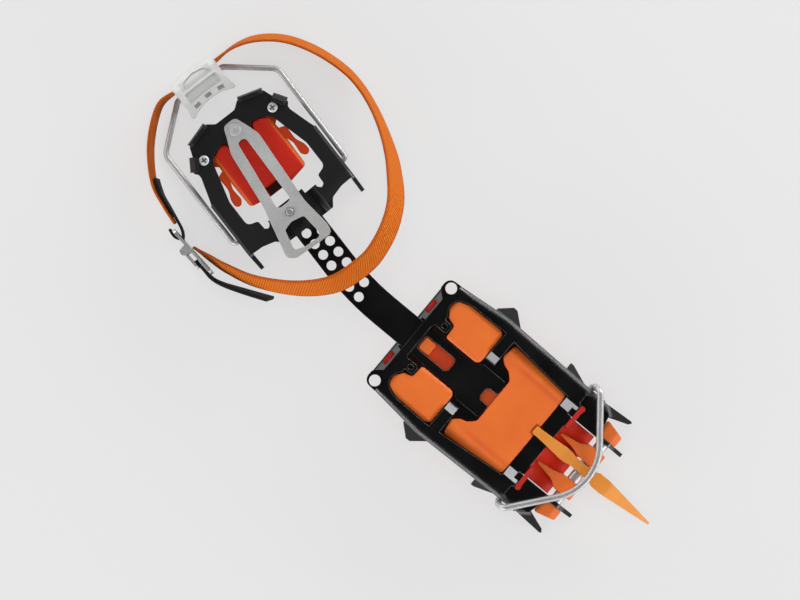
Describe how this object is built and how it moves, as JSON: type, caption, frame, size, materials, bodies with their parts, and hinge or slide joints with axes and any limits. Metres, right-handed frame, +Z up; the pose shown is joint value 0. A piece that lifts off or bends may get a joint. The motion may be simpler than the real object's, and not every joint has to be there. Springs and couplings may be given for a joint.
{
  "type": "ice climbing crampon",
  "caption": "Adjustable ice climbing crampon: spiked steel toe and heel plates on a slotted link bar, wire bails, heel lever, ankle strap and offset front point.",
  "frame": {"origin": "middle of the rear crossbar of the front frame, in the plane that the boot sole stands on", "axes": "+X towards the toe along the front frame, +Y to the wearer's left, +Z up out of the sole plane"},
  "size_m": [0.4425, 0.173, 0.0629],
  "materials": {
    "black_steel": "satin black coated steel",
    "orange_plastic": "moulded orange plastic",
    "red_plastic": "moulded red plastic",
    "amber_paint": "amber coated forged steel",
    "bright_steel": "zinc bright steel",
    "wire_steel": "drawn stainless wire",
    "spring_steel": "brushed spring steel",
    "white_plastic": "milky white plastic",
    "orange_webbing": "woven orange webbing",
    "black_webbing": "woven black webbing",
    "black_plastic": "black strap tip"
  },
  "bodies": {
    "toe_section": {"front_frame": "black_steel", "link_bar": "black_steel", "front_antisnow": "orange_plastic", "front_point": "amber_paint", "point_bolt": "bright_steel", "point_nut": "bright_steel", "point_sleeves": "bright_steel", "point_washer": "bright_steel", "spacer_block_left": "orange_plastic", "spacer_block_right": "orange_plastic", "end_block_left": "orange_plastic", "end_block_right": "orange_plastic"},
    "toe_bail": {"front_bail": "wire_steel"},
    "heel_section": {"heel_plate": "black_steel", "heel_antisnow": "red_plastic", "heel_screws": "bright_steel", "heel_nuts": "bright_steel", "adjuster_rivet": "bright_steel", "strap_long": "orange_webbing", "strap_short": "orange_webbing", "strap_loop": "black_webbing", "strap_tip": "black_plastic", "buckle_frame": "bright_steel"},
    "adjuster": {"adjuster_spring": "spring_steel", "adjuster_pin": "bright_steel"},
    "rear_bail": {"heel_bail": "wire_steel"},
    "lever": {"heel_lever": "white_plastic"},
    "clasp": {"buckle_lever": "bright_steel"}
  },
  "joints": [
    {"name": "front_bail_hinge", "type": "hinge", "parent": "toe_section", "child": "toe_bail", "pos_m": [0.113, 0, -0.007], "axis": [0, -1, 0], "range_deg": [0, 75]},
    {"name": "length_slide", "type": "slide", "parent": "toe_section", "child": "heel_section", "axis": [0.9763, -0.2164, 0], "range_m": [0, 0.0552], "deforming": ["adjuster_spring", "adjuster_pin"]},
    {"name": "adjuster_flex", "type": "hinge", "parent": "heel_section", "child": "adjuster", "pos_m": [-0.17636, 0.02775, 0.001], "axis": [-0.2164, -0.9763, 0], "range_deg": [0, 6], "stiffness_Nm_per_rad": 8, "deforming": ["adjuster_spring", "adjuster_pin"]},
    {"name": "heel_bail_hinge", "type": "hinge", "parent": "heel_section", "child": "rear_bail", "pos_m": [-0.12559, 0.01649, -0.008], "axis": [0.2164, 0.9763, 0], "range_deg": [0, 100]},
    {"name": "heel_lever_hinge", "type": "hinge", "parent": "rear_bail", "child": "lever", "pos_m": [-0.22515, 0.03856, -0.03305], "axis": [-0.2164, -0.9763, 0], "range_deg": [-10, 120]},
    {"name": "buckle_hinge", "type": "hinge", "parent": "heel_section", "child": "clasp", "pos_m": [-0.15996, -0.05688, -0.032], "axis": [0, 0, -1], "range_deg": [0, 50]}
  ]
}
